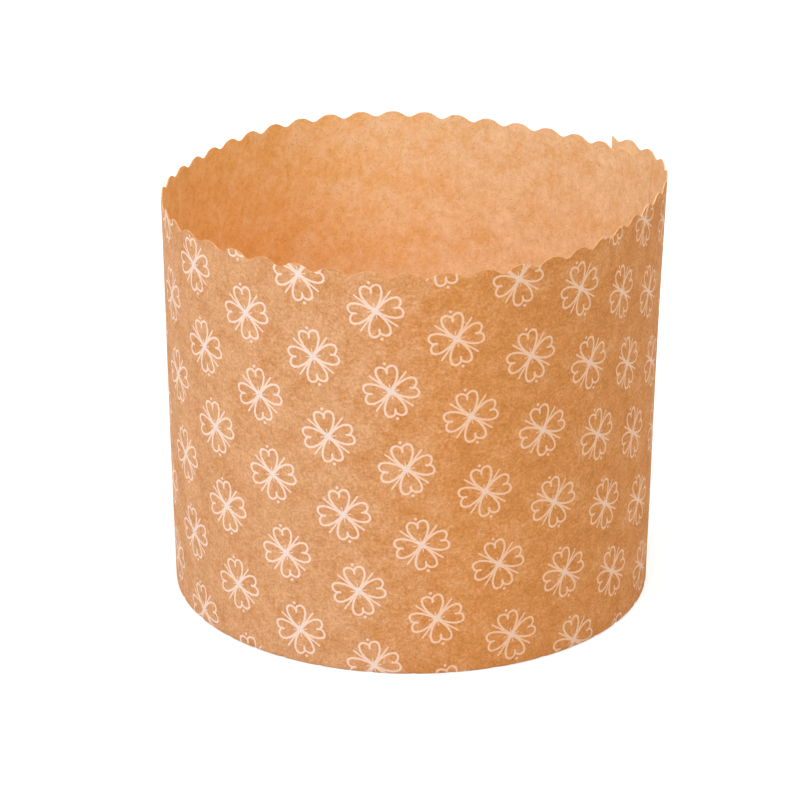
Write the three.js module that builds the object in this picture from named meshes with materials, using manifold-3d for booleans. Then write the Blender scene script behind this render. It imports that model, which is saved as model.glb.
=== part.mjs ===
// Paper mold for a tall sweet loaf, left in the mold after baking. A strip of kraft paper is
// wrapped into a cup that widens a little to its rim and is glued along one lap at the back.
// The rim is cut in scallops. The lower edge is pleated and turned inward as a flange, and a
// disc of fluted card lies on the flange as the floor of the mold.
// Millimetres, +Z up. The origin is the centre of the mold's outline on the table, and the
// front of the mold looks along -Y. Angles run from the front toward +X.

import * as THREE from 'three';
import { mergeVertices } from 'three/addons/utils/BufferGeometryUtils.js';
import Module from 'manifold-3d';

// Size of the cup
const height = 109.9; // table to the scallop crests, halfway round
const rimDiameter = 134; // outside, on average
const baseDiameter = 128.1; // outside, above the fold
const paperThickness = 0.3;

// The scalloped rim. The scallops are cut before the strip is wrapped.
const scallopPitch = 9.37; // crest to crest along the rim
const firstCrest = 8.4; // from the strip's outer end
const scallopDepth = 1.6; // crest to valley
const scallopSteps = 8; // facets along one scallop
const scallopFullness = 0.16; // share of second harmonic, which rounds the crests

// The strip's lap. Its ends missed each other by a little, so the rim has a step there.
const seamAngle = 127; // degrees, where the outer end of the strip lies
const lapWidth = 19; // along the rim
const seamStep = 2.9; // the outer end stands this much higher than the inner one
const easeWidth = 9; // length in which the strip slips under its outer end
const glueBite = 0.03; // the glued layers are pressed this far into each other

// How the handled cup is out of round at its rim: lobes round the plan, how far they stand
// out in millimetres, and the angle of the first lobe. It fades to nothing at the base.
const rimBends = [
  { lobes: 1, amount: 0.4, at: 155 },
  { lobes: 2, amount: 2.4, at: -13 },
  { lobes: 3, amount: 0.7, at: -18 },
  { lobes: 4, amount: 1.8, at: 18 },
  { lobes: 5, amount: 0.35, at: -30 },
];

// The fold at the bottom and the pleated flange
const foldRadius = 0.8; // outside radius of the fold
const flangeWidth = 14;
const pleatCount = 36;
const pleatShare = 0.2; // part of each pleat that is tucked up under its neighbour
const pleatStep = 0.3; // how far the tucked part lies above the table
const gatherHeight = 9; // the wall is smooth again at this height
const gatherDepth = 0.35; // how far the wall is drawn in at a tuck

// The disc of fluted card
const clearance = 0.3; // between the disc and the paper around and under it
const linerThickness = 0.5;
const fluteHeight = 0.7;
const flutePitch = 3.6;
const fluteSteps = 4; // facets along one flute
const discFacets = 96;

// Worked out from the sizes above
const baseRadius = baseDiameter / 2;
const rimRadius = rimDiameter / 2;
const gluedDepth = paperThickness - glueBite;
const radians = THREE.MathUtils.degToRad;

// The radius of the rim's outside in one direction.
function rimRadiusAt(angle) {
  return rimBends.reduce(
    (radius, bend) => radius + bend.amount * Math.cos(bend.lobes * radians(angle - bend.at)),
    rimRadius,
  );
}

// The rim seen from above, walked once round from the strip's outer end.
class RimOutline extends THREE.Curve {
  getPoint(turn, point = new THREE.Vector3()) {
    const angle = seamAngle - 360 * turn;
    const direction = radians(angle);
    return point.set(Math.sin(direction), -Math.cos(direction), 0).multiplyScalar(rimRadiusAt(angle));
  }
}

// The strip is modelled in upright columns of even width along the rim.
const rim = new RimOutline();
rim.arcLengthDivisions = 720;
const columnCount = Math.round((rim.getLength() / scallopPitch) * scallopSteps);
const columnWidth = rim.getLength() / columnCount;
const lapColumns = Math.max(1, Math.round(lapWidth / columnWidth));
const easeColumns = Math.max(1, Math.round(easeWidth / columnWidth));

// The direction in which a column stands. Columns past the last one lie in the lap.
function angleAt(column) {
  const turns = Math.floor(column / columnCount);
  return seamAngle - 360 * (turns + rim.getUtoTmapping(column / columnCount - turns));
}

// The height of the cut edge after so many columns of the strip, with its scallops. The
// strip sinks evenly along its length, from the outer end to the inner one.
function topAt(column) {
  const phase = (2 * Math.PI * (column * columnWidth - firstCrest)) / scallopPitch;
  const wave = (Math.cos(phase) - scallopFullness * Math.cos(2 * phase) - 1 + scallopFullness) / 2;
  const sink = seamStep * (0.5 - column / columnCount);
  return height + sink + scallopDepth * wave;
}

// 1 where the lower edge is tucked under the next pleat, otherwise 0.
function tuckAt(angle) {
  const along = THREE.MathUtils.euclideanModulo((angle * pleatCount) / 360, 1);
  return along < pleatShare ? 1 : 0;
}

// How deep the strip lies under the outermost layer after so many columns.
function layerDepthAt(column) {
  return gluedDepth * THREE.MathUtils.smoothstep(column, columnCount - easeColumns, columnCount);
}

// One upright section of the strip: points from the flange's inner edge over the fold to the
// rim, at a depth below the outside face.
function sectionAt(column, depth) {
  const angle = angleAt(column);
  const tuck = tuckAt(angle);
  const drawnIn = tuck * gatherDepth;
  const foldCentre = baseRadius - drawnIn - foldRadius;
  const bend = (foldRadius - depth) * Math.SQRT1_2;
  const top = topAt(column);
  const lean = (rimRadiusAt(angle) - baseRadius) / height;
  const profile = [
    [baseRadius - flangeWidth, tuck * pleatStep + depth],
    [foldCentre, depth],
    [foldCentre + bend, foldRadius - bend],
    [foldCentre + foldRadius - depth, foldRadius],
    [baseRadius + lean * gatherHeight - depth, gatherHeight],
    [baseRadius + lean * top - depth, top],
  ];
  const direction = radians(angle);
  return profile.map(([radius, z]) => [radius * Math.sin(direction), -radius * Math.cos(direction), z]);
}

// A closed mesh of the strip between two columns: each section is a ring of points up the
// outside face and down the inside face, and the rings are joined column by column. Facets on
// the two faces are split along the same diagonal, so that the faces stay parallel.
function stripGeometry(firstColumn, lastColumn) {
  const rings = [];
  for (let column = firstColumn; column <= lastColumn; column += 1) {
    const depth = layerDepthAt(column);
    const outside = sectionAt(column, depth);
    const inside = sectionAt(column, depth + paperThickness);
    rings.push([...outside, ...inside.reverse()]);
  }
  const ringSize = rings[0].length;
  const indices = [];
  const quad = (a, b, c, d) => indices.push(a, b, c, a, c, d);
  for (let ring = 0; ring + 1 < rings.length; ring += 1) {
    const here = ring * ringSize;
    const next = here + ringSize;
    for (let point = 0; point < ringSize; point += 1) {
      const after = (point + 1) % ringSize;
      if (point < ringSize / 2) quad(here + point, here + after, next + after, next + point);
      else quad(here + after, next + after, next + point, here + point);
    }
  }
  const lastRing = (rings.length - 1) * ringSize;
  for (let point = 0; point + 1 < ringSize / 2; point += 1) {
    const across = ringSize - 1 - point;
    quad(point, across, across - 1, point + 1);
    quad(lastRing + point, lastRing + point + 1, lastRing + across - 1, lastRing + across);
  }
  const geometry = new THREE.BufferGeometry();
  geometry.setAttribute('position', new THREE.Float32BufferAttribute(rings.flat(2), 3));
  geometry.setIndex(indices);
  return geometry;
}

// Joining and cutting of closed meshes
const wasm = await Module();
wasm.setup();

function solidFrom(geometry) {
  const bare = geometry.clone();
  bare.deleteAttribute('normal');
  bare.deleteAttribute('uv');
  const merged = mergeVertices(bare, 1e-5);
  const vertProperties = new Float32Array(merged.attributes.position.array);
  const triVerts = new Uint32Array(merged.index.array);
  return new wasm.Manifold(new wasm.Mesh({ numProp: 3, vertProperties, triVerts }));
}

function geometryFrom(solid) {
  const mesh = solid.getMesh();
  const geometry = new THREE.BufferGeometry();
  geometry.setAttribute('position', new THREE.Float32BufferAttribute(mesh.vertProperties, 3));
  geometry.setIndex(Array.from(mesh.triVerts));
  geometry.computeVertexNormals();
  return geometry;
}

// The wall: the strip in two lengths, so that neither meets itself, joined where they meet
// and where the inner end lies glued under the outer one.
function wallGeometry() {
  const middle = Math.round(columnCount / 2);
  const outerLength = solidFrom(stripGeometry(0, middle));
  const innerLength = solidFrom(stripGeometry(middle, columnCount + lapColumns));
  return geometryFrom(outerLength.add(innerLength));
}

// The disc: a sheet of card with flutes along Y on its upper face, cut round.
function discGeometry() {
  const seat = 2 * paperThickness + pleatStep + clearance;
  const radius = baseRadius - gatherDepth - 2 * paperThickness - clearance;
  const stepWidth = flutePitch / fluteSteps;
  const stepsAcross = 2 * Math.ceil(radius / stepWidth + 1);
  const left = (-stepsAcross * stepWidth) / 2;
  const sheet = new THREE.Shape();
  sheet.moveTo(left, seat);
  for (let step = 0; step <= stepsAcross; step += 1) {
    const ridge = (1 + Math.cos((2 * Math.PI * step) / fluteSteps)) / 2;
    sheet.lineTo(left + step * stepWidth, seat + linerThickness + fluteHeight * ridge);
  }
  sheet.lineTo(-left, seat);
  const length = 2 * radius + 2 * flutePitch;
  const card = new THREE.ExtrudeGeometry(sheet, { depth: length, bevelEnabled: false });
  card.translate(0, 0, -length / 2);
  card.rotateX(Math.PI / 2);
  const cutterHeight = 2 * (seat + linerThickness + fluteHeight);
  const cutter = new THREE.CylinderGeometry(radius, radius, cutterHeight, discFacets);
  cutter.rotateX(Math.PI / 2);
  cutter.translate(0, 0, cutterHeight / 2);
  return geometryFrom(solidFrom(card).intersect(solidFrom(cutter)));
}

const printedKraft = new THREE.MeshStandardMaterial({ color: 0xd7965f, roughness: 0.85, metalness: 0 });
const flutedCard = new THREE.MeshStandardMaterial({ color: 0xc48d5a, roughness: 0.9, metalness: 0 });

const wall = new THREE.Mesh(wallGeometry(), printedKraft);
wall.name = 'side_wall';
const disc = new THREE.Mesh(discGeometry(), flutedCard);
disc.name = 'base_disc';

// The cup is out of round, so it is moved until the middle of its outline is the origin.
const mold = new THREE.Group();
mold.add(wall, disc);
const middleOfOutline = new THREE.Box3().setFromObject(mold).getCenter(new THREE.Vector3());
mold.position.set(-middleOfOutline.x, -middleOfOutline.y, 0);

export default mold;
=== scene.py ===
import math

import bpy
import numpy as np
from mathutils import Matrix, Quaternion, Vector


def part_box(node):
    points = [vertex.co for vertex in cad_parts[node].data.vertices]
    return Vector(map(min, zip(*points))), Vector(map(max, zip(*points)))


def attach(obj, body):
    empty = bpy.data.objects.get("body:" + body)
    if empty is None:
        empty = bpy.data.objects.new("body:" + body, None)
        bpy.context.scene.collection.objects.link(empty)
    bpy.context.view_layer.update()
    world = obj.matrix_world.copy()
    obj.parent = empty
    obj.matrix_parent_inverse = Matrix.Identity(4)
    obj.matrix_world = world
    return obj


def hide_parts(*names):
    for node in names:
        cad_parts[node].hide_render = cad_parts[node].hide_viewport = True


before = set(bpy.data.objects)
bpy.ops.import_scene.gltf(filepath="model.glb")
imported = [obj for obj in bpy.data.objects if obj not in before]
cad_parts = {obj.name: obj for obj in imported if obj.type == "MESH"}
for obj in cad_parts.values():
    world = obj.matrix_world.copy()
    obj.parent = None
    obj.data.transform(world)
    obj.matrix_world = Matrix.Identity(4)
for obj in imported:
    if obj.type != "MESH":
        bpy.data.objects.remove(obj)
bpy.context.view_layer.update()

# Lengths are written in millimetres and made metres here.
MM = 0.001

# The cup, as the solids have it
HEIGHT = 109.9
RIM_RADIUS = 67.0
BASE_RADIUS = 64.05
PAPER = 0.3
SCALLOP_PITCH = 9.37
FIRST_CREST = 8.4
SCALLOP_DEPTH = 1.6
SCALLOP_FULLNESS = 0.16
SEAM_ANGLE = 127.0
LAP_WIDTH = 19.0
SEAM_STEP = 2.9
EASE_WIDTH = 9.0
RIM_BENDS = [
    (1, 0.4, 155.0),
    (2, 2.4, -13.0),
    (3, 0.7, -18.0),
    (4, 1.8, 18.0),
    (5, 0.35, -30.0),
]
FOLD_RADIUS = 0.8
FLANGE_WIDTH = 14.0
PLEATS = 36
PLEAT_SHARE = 0.2
PLEAT_STEP = 0.3
GATHER_HEIGHT = 9.0
GATHER_DEPTH = 0.35
CLEARANCE = 0.3
LINER = 0.5
FLUTE_HEIGHT = 0.7
FLUTE_PITCH = 3.6

# How the paper differs a little from the solids. Two of a kind are a mean and a spread, or
# where a change starts and ends.
SCALLOP_DRIFT = -0.13  # the crests wander by this share of a pitch, most at the drift angle
DRIFT_ANGLE = -50.0
SCALLOP_REACH = (0.95, 0.10)
LAYER_GAP = 0.02  # air between the glued layers
PRESSED_WIDTH = 4.0  # the strip's inner end is pressed thin over this width
PRESSED_SHARE = 0.75
PLEAT_WANDER = 0.18
CREASE_WIDTH = 0.07  # as a share of a pleat
CREASE_REACH = (0.7, 0.3)
CREASE_LIMITS = (0.1, 1.3)
CREASE_TOP = 1.3 * GATHER_HEIGHT
WALL_SWAY = 0.16
SWAY_HEIGHTS = (2.0, 26.0)
SWAY_RISE = 0.03  # how fast the sway changes up the wall
FLUTE_PRESS = (0.9, 0.06)
PRESS_SCALE = (3.0, 0.05)  # from millimetres on the disc to the waves' angle and height

# The printed flowers: their lattice in the sheet, unrolled flat, and the shape of one flower
LATTICE_START = (-8.93, 100.11)
LATTICE_STEPS = ((19.85, -7.20), (3.87, -21.00))
PETAL_ANGLES = (102.7, 13.4, 191.9, 282.7)
DOTTED_PETALS = (0, 3)
RAY_ANGLES = (144.9, 56.2, -34.1, 236.6)


def base_centre():
    """Where the cup's axis stands: the middle of the floor disc."""
    low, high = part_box("base_disc")
    return (low[0] + high[0]) / 2 / MM, (low[1] + high[1]) / 2 / MM


AXIS_X, AXIS_Y = base_centre()


def smoothstep(value, low, high):
    share = np.clip((value - low) / (high - low), 0.0, 1.0)
    return share * share * (3.0 - 2.0 * share)


def slow_waves(angle, height, seed, turns, reach, count):
    """A smooth wandering value: the sum of a few long waves round the cup and up it."""
    rng = np.random.default_rng(seed)
    total = np.zeros(np.broadcast(angle, height).shape)
    for _ in range(count):
        lobes = rng.integers(turns[0], turns[1] + 1)
        rise = rng.uniform(-reach, reach)
        phase = rng.uniform(0.0, 2.0 * math.pi)
        total = total + np.cos(lobes * np.radians(angle) + rise * height + phase)
    return total / math.sqrt(count)


# The wall

COLUMNS_A_SCALLOP = 20
FLANGE_ROWS = 9
FOLD_ROWS = 7
WALL_ROWS = 34
ROW_CROWDING = 1.12  # above 1, the rows of the wall lie closer toward the fold
WALK_STEPS = 3600
WALL_CREASE_ANGLE = 50.0  # edges that turn more than this stay sharp
OUTSIDE, INSIDE, CUT = 0, 1, 2  # the wall's material slots


def rim_radius(angle):
    """The radius of the rim's outside in one direction."""
    radius = np.full(np.shape(angle), RIM_RADIUS)
    for lobes, amount, at in RIM_BENDS:
        radius = radius + amount * np.cos(lobes * np.radians(angle - at))
    return radius


def walk_round_rim():
    """Angles round the rim from the strip's outer end, and the way walked along it to each."""
    angle = SEAM_ANGLE - np.linspace(0.0, 360.0, WALK_STEPS + 1)
    radius = rim_radius(angle)
    x = radius * np.sin(np.radians(angle))
    y = -radius * np.cos(np.radians(angle))
    return angle, np.concatenate([[0.0], np.cumsum(np.hypot(np.diff(x), np.diff(y)))])


WALK_ANGLES, WALK = walk_round_rim()
COLUMNS = round(WALK[-1] / SCALLOP_PITCH * COLUMNS_A_SCALLOP)
COLUMN_WIDTH = WALK[-1] / COLUMNS
LAP_COLUMNS = round(LAP_WIDTH / COLUMN_WIDTH)
EASE_COLUMNS = round(EASE_WIDTH / COLUMN_WIDTH)


def angle_of(column):
    """The direction in which a column of the strip stands. Columns are evenly spaced along
    the rim, and those past a whole turn lie in the lap."""
    turns = np.floor(column / COLUMNS)
    walked = (column - turns * COLUMNS) * COLUMN_WIDTH
    return np.interp(walked, WALK, WALK_ANGLES) - 360.0 * turns


def top_of_strip(column):
    """The height of the cut edge, with its scallops, after so many columns of the strip."""
    turned = column * 360.0 / COLUMNS
    drift = SCALLOP_DRIFT * np.cos(np.radians(SEAM_ANGLE - turned - DRIFT_ANGLE))
    phase = 2 * np.pi * ((column * COLUMN_WIDTH - FIRST_CREST) / SCALLOP_PITCH + drift)
    mean, spread = SCALLOP_REACH
    uneven = mean + spread * slow_waves(turned, 0.0, seed=5, turns=(3, 19), reach=0.0, count=7)
    wave = (np.cos(phase) - SCALLOP_FULLNESS * np.cos(2 * phase) - 1 + SCALLOP_FULLNESS) / 2
    sink = SEAM_STEP * (0.5 - column / COLUMNS)
    return HEIGHT + sink + SCALLOP_DEPTH * uneven * wave


def pleat_place(angle):
    """How far along its pleat each angle lies, from 0 to 1. The pleats are of uneven width."""
    wander = PLEAT_WANDER * slow_waves(angle, 0.0, seed=11, turns=(2, 9), reach=0.0, count=5)
    return np.mod(angle * PLEATS / 360.0 + wander, 1.0)


def wall_sections():
    """The direction of each column of the strip, and its points on the outer and the inner
    face, column by column and row by row. Rows run from the flange's edge to the rim."""
    column = np.arange(COLUMNS + LAP_COLUMNS + 1, dtype=float)[:, None]
    angle = angle_of(column)
    layer = (PAPER + LAYER_GAP) * smoothstep(column, COLUMNS - EASE_COLUMNS, COLUMNS)
    lean = (rim_radius(angle) - BASE_RADIUS) / HEIGHT
    place = pleat_place(angle)
    tucked = 1.0 - smoothstep(place, 0.0, PLEAT_SHARE)
    crease = np.exp(-(((place + 0.5) % 1.0 - 0.5) / CREASE_WIDTH) ** 2)
    mean, spread = CREASE_REACH
    vigour = mean + spread * slow_waves(angle, 0.0, seed=23, turns=(5, 16), reach=0.0, count=5)
    drawn = GATHER_DEPTH * np.clip(vigour, *CREASE_LIMITS) * crease

    flange = np.linspace(0.0, 1.0, FLANGE_ROWS, endpoint=False)[None, :]
    turn = np.linspace(0.0, math.pi / 2, FOLD_ROWS)[None, :]
    rise = np.linspace(0.0, 1.0, WALL_ROWS + 1)[None, 1:] ** ROW_CROWDING
    top = top_of_strip(column)
    wall_z = FOLD_RADIUS + rise * (top - FOLD_RADIUS)
    fold_centre = BASE_RADIUS - FOLD_RADIUS - drawn

    last = COLUMNS + LAP_COLUMNS
    pressed_from = last - PRESSED_WIDTH / COLUMN_WIDTH
    thickness = PAPER * (1.0 - PRESSED_SHARE * smoothstep(column, pressed_from, last))
    faces = []
    for depth in (layer, layer + thickness):
        edge = BASE_RADIUS - FLANGE_WIDTH
        flange_r = edge + flange * (fold_centre - edge)
        flange_z = PLEAT_STEP * tucked * (1.0 - flange) + depth
        fold_r = fold_centre + (FOLD_RADIUS - depth) * np.sin(turn)
        fold_z = FOLD_RADIUS - (FOLD_RADIUS - depth) * np.cos(turn)
        fade = 1.0 - smoothstep(wall_z, FOLD_RADIUS, CREASE_TOP)
        rise_of_sway = wall_z * SWAY_RISE
        sway = slow_waves(angle, rise_of_sway, seed=31, turns=(3, 11), reach=1.6, count=6)
        sway = WALL_SWAY * sway * smoothstep(wall_z, *SWAY_HEIGHTS)
        wall_r = BASE_RADIUS + lean * wall_z - depth - drawn * fade + sway
        radius = np.concatenate([flange_r + 0 * fold_centre, fold_r, wall_r], axis=1)
        height = np.concatenate([flange_z, fold_z + 0 * fold_centre, wall_z], axis=1)
        x = AXIS_X + radius * np.sin(np.radians(angle))
        y = AXIS_Y - radius * np.cos(np.radians(angle))
        faces.append(np.stack([x, y, height], axis=2))
    return angle, faces


def sheet_places(angle, points):
    """Where each point of the strip lies in the flat sheet, in millimetres: the wall is part
    of a cone, so it unrolls into a sector. Below the fold the sheet goes on downward."""
    x = points[:, :, 0] - AXIS_X
    y = points[:, :, 1] - AXIS_Y
    z = points[:, :, 2]
    first_wall_row = FLANGE_ROWS + FOLD_ROWS - 1
    along = np.zeros(z.shape)
    steps = np.hypot(np.hypot(np.diff(x, axis=1), np.diff(y, axis=1)), np.diff(z, axis=1))
    below = np.cumsum(steps[:, :first_wall_row][:, ::-1], axis=1)[:, ::-1]
    along[:, first_wall_row:] = z[:, first_wall_row:]
    along[:, :first_wall_row] = FOLD_RADIUS - below
    x = np.where(along < FOLD_RADIUS, x[:, first_wall_row][:, None], x)
    y = np.where(along < FOLD_RADIUS, y[:, first_wall_row][:, None], y)
    walk = np.hypot(np.diff(x, axis=0), np.diff(y, axis=0))
    around = -np.concatenate([np.zeros((1, z.shape[1])), np.cumsum(walk, axis=0)], axis=0)
    front = np.array([np.interp(0.0, -angle[:, 0], row) for row in around.T])
    around = around - front[None, :]
    apex = BASE_RADIUS * HEIGHT / (RIM_RADIUS - BASE_RADIUS)
    sweep = around / (along + apex)
    flat_x = (along + apex) * np.sin(sweep)
    flat_y = (along + apex) * np.cos(sweep) - apex
    return np.stack([flat_x, flat_y, 0 * along], axis=2)


def new_mesh(name, vertices, quads, materials, smooth_below):
    """A piece from points in millimetres, smooth except where faces turn by a larger angle."""
    mesh = bpy.data.meshes.new(name)
    mesh.from_pydata((vertices * MM).tolist(), [], quads)
    for material in materials:
        mesh.materials.append(material)
    mesh.shade_smooth()
    mesh.set_sharp_from_angle(angle=math.radians(smooth_below))
    mesh.update()
    piece = bpy.data.objects.new(name, mesh)
    bpy.context.scene.collection.objects.link(piece)
    return piece


def note_sheet(piece, places):
    """Keeps where each point lies in the flat sheet, in millimetres, for the materials."""
    kept = piece.data.attributes.new("sheet", "FLOAT_VECTOR", "POINT")
    kept.data.foreach_set("vector", places.reshape(-1).astype(np.float32))
    piece.data.update()


def make_wall(printed, plain, cut_edge):
    """The whole strip. Each column is a ring of points, up the outer face and down the inner
    one, and the rings are joined column by column."""
    angle, (outer, inner) = wall_sections()
    columns, rows = outer.shape[:2]
    ring = 2 * rows
    ring_points = np.concatenate([outer, inner[:, ::-1]], axis=1)
    outer_sheet = sheet_places(angle, outer)
    sheet = np.concatenate([outer_sheet, outer_sheet[:, ::-1]], axis=1)
    quads = []
    kinds = []
    for column in range(columns - 1):
        here = column * ring
        after = here + ring
        for point in range(ring):
            following = (point + 1) % ring
            quads.append((here + point, here + following, after + following, after + point))
            on_edge = point in (rows - 1, ring - 1)
            kinds.append(CUT if on_edge else OUTSIDE if point < rows else INSIDE)
    last = (columns - 1) * ring
    for point in range(rows - 1):
        across = ring - 1 - point
        quads.append((point, across, across - 1, point + 1))
        quads.append((last + point, last + point + 1, last + across - 1, last + across))
        kinds += [CUT, CUT]
    points = ring_points.reshape(-1, 3)
    materials = [printed, plain, cut_edge]
    wall = new_mesh("paper_wall", points, quads, materials, WALL_CREASE_ANGLE)
    wall.data.polygons.foreach_set("material_index", kinds)
    note_sheet(wall, sheet)
    return wall


# The fluted disc

DISC_SEAT = 2 * PAPER + PLEAT_STEP + CLEARANCE
DISC_RADIUS = BASE_RADIUS - GATHER_DEPTH - 2 * PAPER - CLEARANCE
STEPS_A_FLUTE = 12
DISC_ROWS = 14
DISC_CREASE_ANGLE = 60.0


def make_disc(card):
    """A round sheet of card with flutes along Y on its upper face."""
    half_steps = int(DISC_RADIUS / FLUTE_PITCH * STEPS_A_FLUTE)
    x = np.arange(-half_steps, half_steps + 1) * FLUTE_PITCH / STEPS_A_FLUTE
    reach = np.sqrt(DISC_RADIUS ** 2 - x ** 2)
    across = np.linspace(-1.0, 1.0, DISC_ROWS + 1)
    grid_x = np.repeat(x[:, None], DISC_ROWS + 1, axis=1)
    grid_y = reach[:, None] * across[None, :]
    ridge = 0.5 + 0.5 * np.cos(2 * math.pi * grid_x / FLUTE_PITCH)
    mean, spread = FLUTE_PRESS
    angle, rise = grid_x * PRESS_SCALE[0], grid_y * PRESS_SCALE[1]
    press = spread * slow_waves(angle, rise, seed=41, turns=(1, 6), reach=1.0, count=5)
    top_z = DISC_SEAT + LINER + FLUTE_HEIGHT * ridge * (mean + press)
    top = np.stack([AXIS_X + grid_x, AXIS_Y + grid_y, top_z], axis=2)
    under = np.stack([AXIS_X + grid_x, AXIS_Y + grid_y, 0 * grid_x + DISC_SEAT], axis=2)
    rows = DISC_ROWS + 1
    count = x.size * rows
    quads = []

    def close_side(corner, following, turned):
        side = (corner, count + corner, count + following, following)
        quads.append(side[::-1] if turned else side)

    for step in range(x.size - 1):
        for row in range(DISC_ROWS):
            corner = step * rows + row
            quad = (corner, corner + rows, corner + rows + 1, corner + 1)
            quads.append(quad)
            quads.append(tuple(count + quad[place] for place in (0, 3, 2, 1)))
        for corner, turned in ((step * rows, False), (step * rows + DISC_ROWS, True)):
            close_side(corner, corner + rows, turned)
    for first, turned in ((0, True), ((x.size - 1) * rows, False)):
        for corner in range(first, first + DISC_ROWS):
            close_side(corner, corner + 1, turned)
    vertices = np.concatenate([top.reshape(-1, 3), under.reshape(-1, 3)])
    disc = new_mesh("fluted_disc", vertices, quads, [card], DISC_CREASE_ANGLE)
    note_sheet(disc, vertices * (1.0, 1.0, 0.0))
    return disc


# Materials

# Where the Mix node keeps its factor, its two colours and its resulting colour
MIX_SOCKETS = (0, 6, 7)
MIX_RESULT = 2


class Nodes:
    """Writes a node tree. What its functions give back can be fed to the next node."""

    def __init__(self, tree):
        self.tree = tree

    def add(self, kind, inputs=None, **settings):
        node = self.tree.nodes.new(kind)
        for name, value in settings.items():
            setattr(node, name, value)
        for socket, value in (inputs or {}).items():
            self.feed(node.inputs[socket], value)
        return node

    def feed(self, socket, value):
        if isinstance(value, bpy.types.NodeSocket):
            self.tree.links.new(value, socket)
        else:
            socket.default_value = value

    def math(self, operation, *values, clamp=False):
        node = self.add("ShaderNodeMath", operation=operation, use_clamp=clamp)
        for socket, value in zip(node.inputs, values):
            self.feed(socket, value)
        return node.outputs[0]

    def weighted(self, values, shares):
        """The sum of the values, each times its share."""
        total = self.math("MULTIPLY", values[0], shares[0])
        for value, share in zip(values[1:], shares[1:]):
            total = self.math("ADD", total, self.math("MULTIPLY", value, share))
        return total

    def vector(self, operation, *values):
        node = self.add("ShaderNodeVectorMath", operation=operation)
        for socket, value in zip(node.inputs, values):
            self.feed(socket, value)
        gives_number = operation in ("LENGTH", "DOT_PRODUCT")
        return node.outputs["Value" if gives_number else "Vector"]

    def split(self, vector):
        node = self.add("ShaderNodeSeparateXYZ", {"Vector": vector})
        return node.outputs[0], node.outputs[1]

    def join(self, x, y, z=0.0):
        return self.add("ShaderNodeCombineXYZ", {0: x, 1: y, 2: z}).outputs[0]

    def turn(self, vector, degrees):
        inputs = {"Vector": vector, "Angle": math.radians(degrees)}
        return self.add("ShaderNodeVectorRotate", inputs, rotation_type="Z_AXIS").outputs[0]

    def ramp(self, value, low, high, start=0.0, end=1.0):
        """A smooth change from start to end while the value goes from low to high."""
        node = self.add("ShaderNodeMapRange", interpolation_type="SMOOTHSTEP")
        for socket, number in zip(node.inputs, (value, low, high, start, end)):
            self.feed(socket, number)
        return node.outputs[0]

    def noise(self, vector, scale, detail=3.0, rough=0.55, stretch=None, distortion=0.0):
        if stretch:
            vector = self.vector("MULTIPLY", vector, stretch)
        inputs = {"Vector": vector, "Scale": scale, "Detail": detail}
        inputs |= {"Roughness": rough, "Distortion": distortion}
        return self.add("ShaderNodeTexNoise", inputs).outputs[0]

    def mix(self, factor, first, second, blend="MIX"):
        node = self.add("ShaderNodeMix", data_type="RGBA", blend_type=blend)
        for socket, value in zip(MIX_SOCKETS, (factor, first, second)):
            self.feed(node.inputs[socket], value)
        return node.outputs[MIX_RESULT]


def colour(red, green, blue):
    """A colour given as screen values from 0 to 255, as the linear colour a node takes."""
    channels = []
    for value in (red, green, blue):
        share = value / 255
        channels.append(share / 12.92 if share <= 0.04045 else ((share + 0.055) / 1.055) ** 2.4)
    return (*channels, 1.0)


def grey(value):
    """The same value in all three channels."""
    return (value, value, value, 1.0)


def segment_distance(n, place, start, end):
    """Distance from a place to the straight stretch between two places."""
    run = (end[0] - start[0], end[1] - start[1], 0.0)
    length_squared = run[0] ** 2 + run[1] ** 2
    away = n.vector("SUBTRACT", place, (start[0], start[1], 0.0))
    share = n.math("DIVIDE", n.vector("DOT_PRODUCT", away, run), length_squared, clamp=True)
    node = n.add("ShaderNodeVectorMath", {0: run}, operation="SCALE")
    n.feed(node.inputs["Scale"], share)
    return n.vector("LENGTH", n.vector("SUBTRACT", away, node.outputs[0]))


# One half of a petal, in millimetres, with its axis along X: its side is an arc, its lobe an
# oval, and a short curl runs in from the notch. A tick runs out from the flower's middle.
SIDE_CENTRE = (6.71, -5.71)
SIDE_RADIUS = 8.58
SIDE_END = 5.0
LOBE_CENTRE = (5.23, 1.24)
LOBE_REACH = (1.54, 1.30)
LOBE_SLANT = 38.9
CURL = ((5.96, -0.20), (4.90, 0.0))
TICK = ((0.0, 0.0), (2.0, 0.0))
RAY = ((2.2, 0.0), (6.5, 0.0))
TICK_THINNER = 0.16  # how much thinner than the petals' line, on each side
RAY_THINNER = 0.06
DOT_PLACE = 7.45
DOT_RADIUS = 0.11  # added to half the line
LINE_EDGE = (0.19, 0.37)  # from full ink to none, measured from the middle of a line
CORNER = 0.12  # where lines meet, ink fills the corner by this much
FAR = 50.0  # puts a line out of reach where it isn't drawn
RAGGED = {"Scale": 2.6, "Detail": 2.0}  # the noise that makes the lines uneven
RAGGED_REACH = 0.16
INK_BREAKS = {"scale": 1.5, "detail": 4.0, "rough": 0.75}
BREAK_LIMITS = (0.30, 0.52)
THINNEST_INK = 0.62


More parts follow.
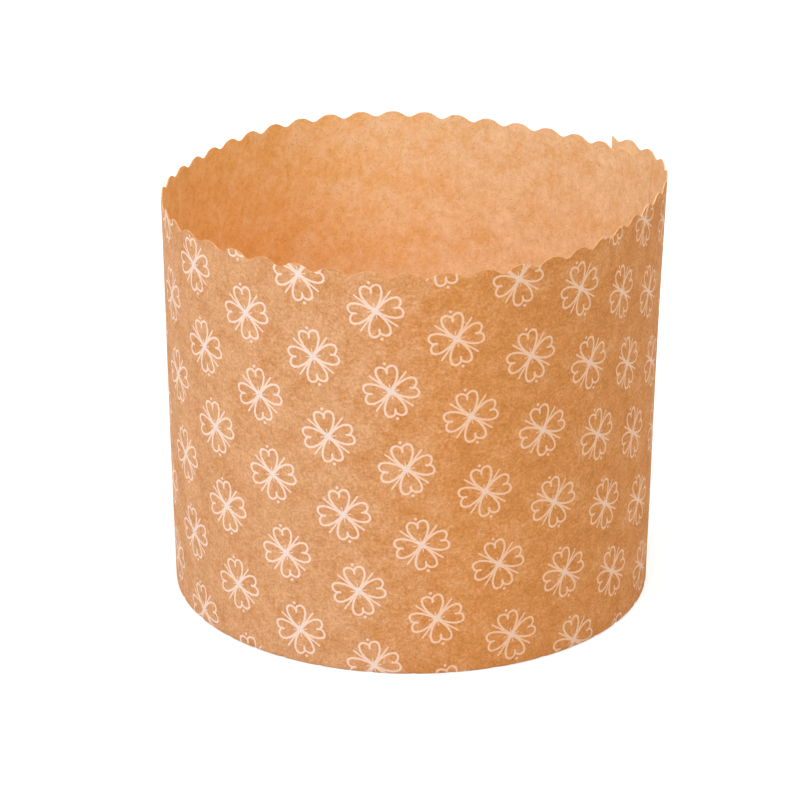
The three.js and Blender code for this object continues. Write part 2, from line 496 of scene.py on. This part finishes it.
def petal_group():
    """A node group that gives the distance to a petal's drawn line, with the petal's axis
    along X."""
    tree = bpy.data.node_groups.new("petal", "ShaderNodeTree")
    tree.interface.new_socket("Place", in_out="INPUT", socket_type="NodeSocketVector")
    tree.interface.new_socket("Distance", in_out="OUTPUT", socket_type="NodeSocketFloat")
    n = Nodes(tree)
    place = n.add("NodeGroupInput").outputs[0]
    x, y = n.split(place)
    y = n.math("ABSOLUTE", y)
    folded = n.join(x, y)
    to_side = n.vector("LENGTH", n.vector("SUBTRACT", folded, (*SIDE_CENTRE, 0.0)))
    side = n.math("ABSOLUTE", n.math("SUBTRACT", to_side, SIDE_RADIUS))
    beyond = n.math("GREATER_THAN", x, SIDE_END)
    behind = n.math("LESS_THAN", x, 0.0)
    side = n.math("ADD", side, n.math("MULTIPLY", n.math("ADD", beyond, behind), FAR))
    from_lobe = n.vector("SUBTRACT", folded, (*LOBE_CENTRE, 0.0))
    round_lobe = n.vector("DIVIDE", n.turn(from_lobe, -LOBE_SLANT), (*LOBE_REACH, 1.0))
    lobe = n.math("ABSOLUTE", n.math("SUBTRACT", n.vector("LENGTH", round_lobe), 1.0))
    lobe = n.math("MULTIPLY", lobe, sum(LOBE_REACH) / 2)
    short = n.math("LESS_THAN", x, SIDE_END)
    lobe = n.math("ADD", lobe, n.math("MULTIPLY", short, FAR))
    curl = segment_distance(n, place, *CURL)
    nearest = n.math("MINIMUM", side, lobe)
    nearest = n.math("SMOOTH_MIN", nearest, curl, CORNER)
    tick = n.math("ADD", segment_distance(n, folded, *TICK), TICK_THINNER)
    nearest = n.math("MINIMUM", nearest, tick)
    out = n.add("NodeGroupOutput")
    n.feed(out.inputs[0], nearest)
    return tree


def flower_distance(n, place):
    """Distance to the nearest drawn line of the flower that is centred at 0, 0."""
    group = petal_group()
    nearest = None
    for number, angle in enumerate(PETAL_ANGLES):
        turned = n.turn(place, -angle)
        distance = n.add("ShaderNodeGroup", node_tree=group)
        n.feed(distance.inputs[0], turned)
        distance = distance.outputs[0]
        if number in DOTTED_PETALS:
            to_dot = n.vector("LENGTH", n.vector("SUBTRACT", turned, (DOT_PLACE, 0.0, 0.0)))
            distance = n.math("MINIMUM", distance, n.math("SUBTRACT", to_dot, DOT_RADIUS))
        nearest = distance if nearest is None else n.math("MINIMUM", nearest, distance)
    for angle in RAY_ANGLES:
        ray = segment_distance(n, n.turn(place, -angle), *RAY)
        nearest = n.math("SMOOTH_MIN", nearest, n.math("ADD", ray, RAY_THINNER), CORNER)
    return nearest


def print_mask(n, sheet):
    """How much ink lies at each place of the sheet, and how far it is from the middle of the
    nearest flower."""
    first, second = LATTICE_STEPS
    cross = first[0] * second[1] - first[1] * second[0]
    away = n.vector("SUBTRACT", sheet, (*LATTICE_START, 0.0))
    along = n.vector("DOT_PRODUCT", away, (second[1] / cross, -second[0] / cross, 0.0))
    down = n.vector("DOT_PRODUCT", away, (-first[1] / cross, first[0] / cross, 0.0))
    along = n.math("ROUND", along)
    down = n.math("ROUND", down)
    offsets = []
    for value, *steps in zip(n.split(away), first, second):
        offsets.append(n.math("SUBTRACT", value, n.weighted((along, down), steps)))
    place = n.join(*offsets)
    ragged = n.add("ShaderNodeTexNoise", {"Vector": sheet} | RAGGED).outputs["Color"]
    shake = n.vector("SUBTRACT", ragged, (0.5, 0.5, 0.5))
    shake = n.vector("MULTIPLY", shake, (RAGGED_REACH, RAGGED_REACH, 0.0))
    distance = flower_distance(n, n.vector("ADD", place, shake))
    line = n.ramp(distance, *LINE_EDGE, 1.0, 0.0)
    cover = n.ramp(n.noise(sheet, **INK_BREAKS), *BREAK_LIMITS, THINNEST_INK, 1.0)
    return n.math("MULTIPLY", line, cover), n.vector("LENGTH", place)


# Kraft paper
TONE_SWAY = 3.4  # how far the clouds shift the tone
CHANNEL_REACH = (1.2, 1.55, 2.0)  # how much red, green and blue vary
CLOUDS = {"scale": 0.12, "detail": 4.0, "rough": 0.6}
MOTTLE = {"scale": 0.42, "detail": 4.0, "rough": 0.65, "distortion": 0.4}
FIBRES_ALONG = {"scale": 1.0, "detail": 3.0, "rough": 0.6, "stretch": (0.9, 4.2, 1.0)}
FIBRES_ACROSS = {"scale": 1.0, "detail": 3.0, "rough": 0.6, "stretch": (0.8, 3.6, 1.0)}
ACROSS_TURN = 57.0
LEVEL_SHARES = (0.32, 0.34, 0.18, 0.16)  # clouds, mottle, fibres along and across
LEVEL_LIMITS = (0.34, 0.66)  # noise below and above these counts as full dark and full light
PATCH_SHARES = (0.6, 0.4)  # clouds and mottle, where they sway the tone
FELT = {"scale": 1.25, "detail": 3.0, "rough": 0.8}
FELT_LIMITS = (0.25, 0.75)
SPECK_STRETCH = (0.45, 1.9, 1.0)
SPECK_EDGE = 2.2  # a speck has faded away at this multiple of its size

# Specks: how they are turned, their scale, their colour, how much of it, and their size
SPECKS = (
    (24.0, 0.88, (138, 84, 42), 0.55, 0.075),
    (101.0, 0.768, (150, 92, 48), 0.5, 0.07),
    (150.0, 0.96, (246, 196, 140), 0.4, 0.06),
)


def sheet_wave(n, sheet, middle):
    """From -1 to 1 once round the cup, with the top of the wave at a place along the sheet."""
    along = n.split(sheet)[0]
    return n.math("COSINE", n.math("DIVIDE", n.math("SUBTRACT", along, middle), RIM_RADIUS))


def vary(n, base, value, amount):
    """Darkens and lightens a colour with a value from 0 to 1. Brown paper varies most in its
    blue part and least in its red part."""
    low = (*(1.0 - amount * reach for reach in CHANNEL_REACH), 1.0)
    high = (*(1.0 + amount * reach for reach in CHANNEL_REACH), 1.0)
    return n.mix(1.0, base, n.mix(value, low, high), blend="MULTIPLY")


def paper_colour(n, sheet, painted_light_and_tone, pale, deep, clouding, graining):
    """Kraft paper: cloudy formation, felted fibres both ways, and dark and pale specks. A slow
    change leads from the deep colour to the pale one, and the clouds sway it. On the cup's wall
    this change is painted light and painted sheen, pale where the key lamp falls and deep in
    painted shade. Returns the colour and the level of the clouds and fibres."""
    clouds = n.noise(sheet, **CLOUDS)
    mottle = n.noise(sheet, **MOTTLE)
    along = n.noise(sheet, **FIBRES_ALONG)
    across = n.noise(n.turn(sheet, ACROSS_TURN), **FIBRES_ACROSS)
    level = n.weighted((clouds, mottle, along, across), LEVEL_SHARES)
    patches = n.weighted((clouds, mottle), PATCH_SHARES)
    sway = n.math("MULTIPLY", n.math("SUBTRACT", patches, 0.5), TONE_SWAY)
    base = n.mix(n.math("ADD", painted_light_and_tone, sway, clamp=True), deep, pale)
    base = vary(n, base, n.ramp(level, *LEVEL_LIMITS), clouding)
    for turned, scale, shade, amount, size in SPECKS:
        stretched = n.vector("MULTIPLY", n.turn(sheet, turned), SPECK_STRETCH)
        cells = n.add("ShaderNodeTexVoronoi", {"Vector": stretched, "Scale": scale})
        speck = n.ramp(cells.outputs["Distance"], size, SPECK_EDGE * size, amount, 0.0)
        base = n.mix(speck, base, colour(*shade))
    felt = n.noise(sheet, **FELT)
    base = vary(n, base, n.ramp(felt, *FELT_LIMITS), graining)
    return base, level


PAPER_ROUGHNESS = (0.72, 0.58)  # where the level of the clouds and fibres is low and high
ROUGHNESS_LEVELS = (0.3, 0.7)
PAPER_SPECULAR = 0.06
FINE_RELIEF = {"scale": 3.2, "detail": 4.0, "rough": 0.7}
RELIEF_SHARES = (0.8, 0.35)  # clouds and fibres, and the fine relief
RELIEF_STRENGTH = 0.3
RELIEF = 0.2
# Painted light on the print: the ink is paler where the paper has painted light and sheen, and
# deeper in its painted shade.
INK_IN_PAINTED_SHADE = (255, 212, 177)
INK_IN_PAINTED_LIGHT = (255, 228, 211)
INK_AT_CROSSING = (246, 232, 224)  # the lines run together at a flower's middle
CROSSING_REACH = (0.4, 2.0)
# The crossing blob is painted stronger where the paper has painted light than in its painted
# shade.
CROSSING_AMOUNT = (0.35, 0.85)  # on deep and on pale paper
INK_COVER = 0.9
INK_ROUGHNESS = 0.62


def new_material(name):
    material = bpy.data.materials.new(name)
    material.use_nodes = True
    material.node_tree.nodes.clear()
    return material, Nodes(material.node_tree)


def paper_material(name, pale, deep, painted_light_and_tone_at, grain, printed=False, offset=(0.0, 0.0, 0.0)):
    """Paper or card. The offset takes the grain from another part of an endless sheet."""
    material, n = new_material(name)
    sheet = n.add("ShaderNodeAttribute", attribute_name="sheet").outputs["Vector"]
    grain_place = n.vector("ADD", sheet, offset)
    middle, low, high = painted_light_and_tone_at
    # Painted light: a slow wave round the cup from the deep colour to the pale one. On the
    # wall, pale stands for light and sheen from the key lamp and deep stands for shade.
    painted_light_and_tone = n.ramp(sheet_wave(n, sheet, middle), low, high)
    base, level = paper_colour(n, grain_place, painted_light_and_tone, colour(*pale), colour(*deep), *grain)
    roughness = n.ramp(level, *ROUGHNESS_LEVELS, *PAPER_ROUGHNESS)
    if printed:
        mask, from_middle = print_mask(n, sheet)
        ink = n.mix(painted_light_and_tone, colour(*INK_IN_PAINTED_SHADE), colour(*INK_IN_PAINTED_LIGHT))
        crossing = n.ramp(from_middle, *CROSSING_REACH, 1.0, 0.0)
        crossing = n.math("MULTIPLY", crossing, n.ramp(painted_light_and_tone, 0.0, 1.0, *CROSSING_AMOUNT))
        ink = n.mix(crossing, ink, colour(*INK_AT_CROSSING))
        base = n.mix(n.math("MULTIPLY", mask, INK_COVER), base, ink)
        roughness = n.mix(mask, roughness, grey(INK_ROUGHNESS))
    fine = n.noise(grain_place, **FINE_RELIEF)
    relief = n.weighted((level, fine), RELIEF_SHARES)
    bump = {"Height": relief, "Strength": RELIEF_STRENGTH, "Distance": RELIEF * MM}
    bump = n.add("ShaderNodeBump", bump)
    shader = n.add("ShaderNodeBsdfPrincipled", {"Base Color": base, "Normal": bump.outputs[0]})
    n.feed(shader.inputs["Roughness"], roughness)
    shader.inputs["Specular IOR Level"].default_value = PAPER_SPECULAR
    out = n.add("ShaderNodeOutputMaterial")
    n.feed(out.inputs["Surface"], shader.outputs[0])
    return material


# Painted light: where along the sheet the colour is palest, and the part of the wave in which
# it turns from deep to pale. On the cup's outside and inside the pale side is painted light and
# painted sheen where the key lamp falls, and the deep side is painted shade. On the card the
# wave makes it paler along its middle and a little deeper toward its left and right edges.
OUTER_PAINTED_LIGHT = (-55.0, 0.40, 1.0)
INNER_PAINTED_LIGHT = (150.0, -0.5, 1.1)
CARD_TONE = (0.0, -1.0, 1.0)

# How strong the clouds and the fine grain are
OUTER_GRAIN = (0.125, 0.15)
INNER_GRAIN = (0.135, 0.05)

# Outside: pale is painted light and painted sheen on the front left, where the key lamp falls;
# deep is painted shade on the right and at the back.
printed_kraft = paper_material(
    "printed_kraft",
    pale=(220, 162, 115),
    deep=(223, 149, 84),
    painted_light_and_tone_at=OUTER_PAINTED_LIGHT,
    grain=OUTER_GRAIN,
    printed=True,
)
# Inside: pale is painted light on the back right, which faces the key lamp; deep is painted
# shade on the left.
plain_kraft = paper_material(
    "plain_kraft",
    pale=(234, 196, 151),
    deep=(252, 194, 120),
    painted_light_and_tone_at=INNER_PAINTED_LIGHT,
    grain=INNER_GRAIN,
    offset=(631.0, 217.0, 0.0),
)
# The cut edge takes the inside's painted light: paler at the back right, deeper in painted
# shade on the left.
cut_kraft = paper_material(
    "cut_kraft",
    pale=(228, 180, 130),
    deep=(216, 158, 104),
    painted_light_and_tone_at=INNER_PAINTED_LIGHT,
    grain=INNER_GRAIN,
    offset=(120.0, 45.0, 0.0),
)
fluted_card = paper_material(
    "fluted_card",
    pale=(212, 152, 100),
    deep=(188, 122, 72),
    painted_light_and_tone_at=CARD_TONE,
    grain=INNER_GRAIN,
    offset=(300.0, 900.0, 0.0),
)

wall = make_wall(printed_kraft, plain_kraft, cut_kraft)
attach(wall, "root")
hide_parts("side_wall")

disc = make_disc(fluted_card)
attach(disc, "root")
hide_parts("base_disc")


# The floor: white to the camera, with the cup's shadow on it

FLOOR_SIZE = 6.0  # metres
FLOOR_GREY = 0.62
FLOOR_LIFT = 0.52  # brings the lit floor up to white for the camera
WHITE = grey(1.0)


def seen_directly(n):
    """1 for rays from the camera, by a mirror or through glass too, otherwise 0."""
    rays = n.add("ShaderNodeLightPath")
    seen = n.math("MAXIMUM", rays.outputs["Is Camera Ray"], rays.outputs["Is Glossy Ray"])
    return n.math("MAXIMUM", seen, rays.outputs["Is Transmission Ray"])


def floor_material():
    material, n = new_material("floor_white")
    seen = seen_directly(n)
    diffuse = n.add("ShaderNodeBsdfDiffuse", {"Color": grey(FLOOR_GREY)})
    lift = n.add("ShaderNodeEmission", {"Color": WHITE})
    n.feed(lift.inputs["Strength"], n.math("MULTIPLY", seen, FLOOR_LIFT))
    both = n.add("ShaderNodeAddShader", {0: diffuse.outputs[0], 1: lift.outputs[0]})
    out = n.add("ShaderNodeOutputMaterial")
    n.feed(out.inputs["Surface"], both.outputs[0])
    return material


half = FLOOR_SIZE / 2
floor_mesh = bpy.data.meshes.new("floor")
corners = [(-half, -half, 0), (half, -half, 0), (half, half, 0), (-half, half, 0)]
floor_mesh.from_pydata(corners, [], [(0, 1, 2, 3)])
floor_mesh.materials.append(floor_material())
floor = bpy.data.objects.new("floor", floor_mesh)
bpy.context.scene.collection.objects.link(floor)

# Soft light: a white surround, weaker at both sides, and lamps above and at the front left

SIDES_FROM = 0.25  # how far to a side a direction points where the surround starts to fade
SURROUND_MIDDLE = 0.88
SURROUND_SIDES = 0.44


def aim(holder, place, target, roll=0.0):
    """Puts a lamp or the camera at a place, in metres, and points it at a target."""
    holder.location = place
    turn = (Vector(target) - Vector(place)).to_track_quat("-Z", "Y")
    turn = turn @ Quaternion((0.0, 0.0, 1.0), math.radians(roll))
    holder.rotation_euler = turn.to_euler()


def soft_lamp(name, place, target, size, power):
    lamp = bpy.data.lights.new(name, "AREA")
    lamp.shape = "DISK"
    lamp.size = size
    lamp.energy = power
    holder = bpy.data.objects.new(name, lamp)
    aim(holder, place, target)
    bpy.context.scene.collection.objects.link(holder)


cup_middle = (0.0, 0.0, 0.05)
soft_lamp("key", (-0.70, -0.60, 0.90), cup_middle, size=0.6, power=4.5)
soft_lamp("top", (0.0, -0.25, 1.3), cup_middle, size=1.0, power=8.0)

world = bpy.data.worlds.new("white_surround")
world.use_nodes = True
world.node_tree.nodes.clear()
w = Nodes(world.node_tree)
direction = w.add("ShaderNodeTexCoord").outputs["Generated"]
sideways = w.math("ABSOLUTE", w.split(direction)[0])
strength = w.ramp(sideways, SIDES_FROM, 1.0, SURROUND_MIDDLE, SURROUND_SIDES)
strength = w.math("MAXIMUM", strength, seen_directly(w))
surround = w.add("ShaderNodeBackground", {"Color": WHITE, "Strength": strength})
world_out = w.add("ShaderNodeOutputWorld")
w.feed(world_out.inputs["Surface"], surround.outputs[0])
bpy.context.scene.world = world

# The camera stands where the photograph was taken from.
CAMERA_PLACE = (-0.00092, -0.76864, 0.35987)
CAMERA_TARGET = (-0.00405, -0.00034, 0.04954)

camera_data = bpy.data.cameras.new("camera")
camera_data.sensor_width = 36.0
camera_data.lens = 139.26
camera = bpy.data.objects.new("camera", camera_data)
aim(camera, CAMERA_PLACE, CAMERA_TARGET, roll=0.104)
bpy.context.scene.collection.objects.link(camera)
bpy.context.scene.camera = camera
bpy.context.scene.view_settings.view_transform = "Standard"
